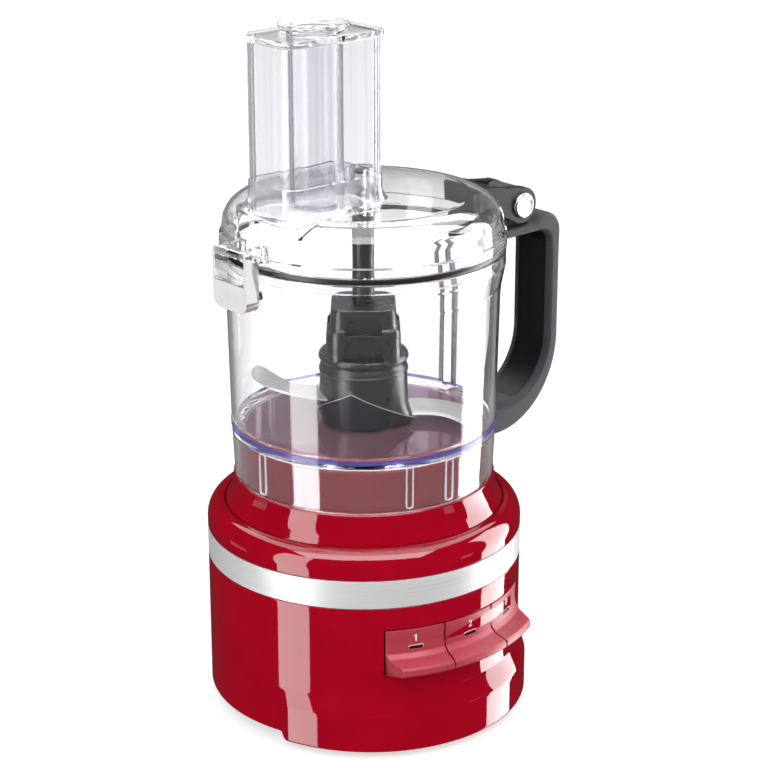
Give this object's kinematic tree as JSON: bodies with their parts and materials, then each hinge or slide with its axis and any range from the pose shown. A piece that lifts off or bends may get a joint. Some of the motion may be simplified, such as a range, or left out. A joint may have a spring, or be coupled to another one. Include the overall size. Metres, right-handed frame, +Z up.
{
  "type": "food processor",
  "caption": "Countertop food processor: round red base with three levers, clear bowl with handle, hinged lid, feed tube and pushers.",
  "frame": {"origin": "where the bowl's vertical drive axis meets the worktop", "axes": "+Z up along the drive axis, -Y to the front with the levers, +X towards the handle"},
  "size_m": [0.241, 0.2003, 0.4095],
  "materials": {
    "red_gloss": "glossy injection-moulded shell",
    "brushed_band": "brushed around the band",
    "grey_plastic": "moulded, fine texture",
    "rubber": "soft matte",
    "zinc_steel": "zinc plated",
    "cast_alloy": "cast, machined at the bearings",
    "bearing_steel": "ground",
    "motor_iron": "stacked laminations",
    "copper": "enamelled copper",
    "circuit_board": "solder mask",
    "white_nylon": "natural nylon",
    "brass": "turned",
    "lever_red": "satin, fine texture",
    "lens": "smoked lens",
    "clear_plastic": "polished clear copolyester",
    "charcoal": "fine-textured moulding",
    "grip": "soft-touch overmould",
    "satin_cap": "satin",
    "black_plastic": "fine-textured moulding",
    "blade_steel": "ground edge",
    "seal": "smooth silicone",
    "latch_chrome": "polished"
  },
  "bodies": {
    "base": {"lower_housing": "red_gloss", "shoulder_ring": "red_gloss", "top_cover": "red_gloss", "trim_band": "brushed_band", "base_plate": "grey_plastic", "rubber_feet": "rubber", "housing_screws": "zinc_steel", "chassis_plate": "zinc_steel", "spindle_housing": "cast_alloy", "spindle_bearings": "bearing_steel", "spindle_seal": "rubber", "motor_frame": "zinc_steel", "motor_stator": "motor_iron", "motor_windings": "copper", "motor_bearings": "bearing_steel", "brush_holders": "grey_plastic", "drive_belt": "rubber", "control_board": "circuit_board", "lever_frame": "grey_plastic", "lever_pins": "zinc_steel", "lever_switches": "grey_plastic", "lever_spring_1": "zinc_steel", "lever_spring_2": "zinc_steel", "lever_spring_0": "zinc_steel", "bowl_switch": "grey_plastic", "cord_inlet": "rubber"},
    "speed_1_lever": {"lever_1": "lever_red", "lever_light_1": "lens"},
    "speed_2_lever": {"lever_2": "lever_red", "lever_light_2": "lens"},
    "pulse_lever": {"lever_0": "lever_red", "lever_light_0": "lens"},
    "spindle": {"drive_spindle": "bearing_steel", "drive_pulley": "white_nylon", "drive_dog": "bearing_steel"},
    "motor_rotor": {"motor_shaft": "bearing_steel", "armature": "motor_iron", "commutator": "copper", "cooling_fan": "white_nylon", "motor_pulley": "brass"},
    "bowl_group": {"bowl": "clear_plastic", "handle": "charcoal", "handle_grip": "grip", "handle_screw": "zinc_steel", "hinge_pin": "bearing_steel", "hinge_caps": "satin_cap"},
    "blade_group": {"drive_adapter": "black_plastic", "blade_hub": "black_plastic", "upper_blade": "blade_steel", "lower_blade": "blade_steel"},
    "lid_group": {"lid": "clear_plastic", "feed_tube": "clear_plastic", "lid_seal": "seal", "lid_hinge": "charcoal", "latch_pin": "latch_chrome"},
    "latch": {"latch_clip": "latch_chrome"},
    "big_pusher": {"large_pusher": "clear_plastic"},
    "little_pusher": {"small_pusher": "clear_plastic"}
  },
  "joints": [
    {"name": "lever_1_press", "type": "hinge", "parent": "base", "child": "speed_1_lever", "pos_m": [-0.03049, -0.07396, 0.08], "axis": [0.9245, -0.3811, 0], "range_deg": [0, 4], "stiffness_Nm_per_rad": 0.9, "springref_deg": -1.72, "deforming": ["lever_spring_1"]},
    {"name": "lever_2_press", "type": "hinge", "parent": "base", "child": "speed_2_lever", "pos_m": [0, -0.08, 0.08], "axis": [1, 0, 0], "range_deg": [0, 4], "stiffness_Nm_per_rad": 0.9, "springref_deg": -1.72, "deforming": ["lever_spring_2"]},
    {"name": "lever_0_press", "type": "hinge", "parent": "base", "child": "pulse_lever", "pos_m": [0.03049, -0.07396, 0.08], "axis": [0.9245, 0.3811, 0], "range_deg": [0, 4], "stiffness_Nm_per_rad": 0.9, "springref_deg": -1.72, "deforming": ["lever_spring_0"]},
    {"name": "spindle_spin", "type": "hinge", "parent": "base", "child": "spindle", "pos_m": [0, 0, 0.1], "axis": [0, 0, 1], "continuous": true},
    {"name": "motor_spin", "type": "hinge", "parent": "base", "child": "motor_rotor", "pos_m": [0, 0.046, 0.05], "axis": [0, 0, 1], "continuous": true},
    {"name": "bowl_lift", "type": "slide", "parent": "base", "child": "bowl_group", "axis": [0, 0, 1], "range_m": [0, 0.16]},
    {"name": "blade_spin", "type": "hinge", "parent": "bowl_group", "child": "blade_group", "pos_m": [0, 0, 0.2], "axis": [0, 0, 1], "continuous": true},
    {"name": "lid_hinge", "type": "hinge", "parent": "bowl_group", "child": "lid_group", "pos_m": [0.112, 0, 0.284], "axis": [0, 1, 0], "range_deg": [0, 95]},
    {"name": "latch_flip", "type": "hinge", "parent": "lid_group", "child": "latch", "pos_m": [-0.091, 0, 0.289], "axis": [0, 1, 0], "range_deg": [0, 100]},
    {"name": "big_pusher_lift", "type": "slide", "parent": "lid_group", "child": "big_pusher", "axis": [0, 0, 1], "range_m": [0, 0.1]},
    {"name": "little_pusher_lift", "type": "slide", "parent": "big_pusher", "child": "little_pusher", "axis": [0, 0, 1], "range_m": [0, 0.105]}
  ],
  "couplings": [
    {"joint": "motor_spin", "follows": "spindle_spin", "ratio": 3.6},
    {"joint": "blade_spin", "follows": "spindle_spin", "ratio": 1}
  ]
}
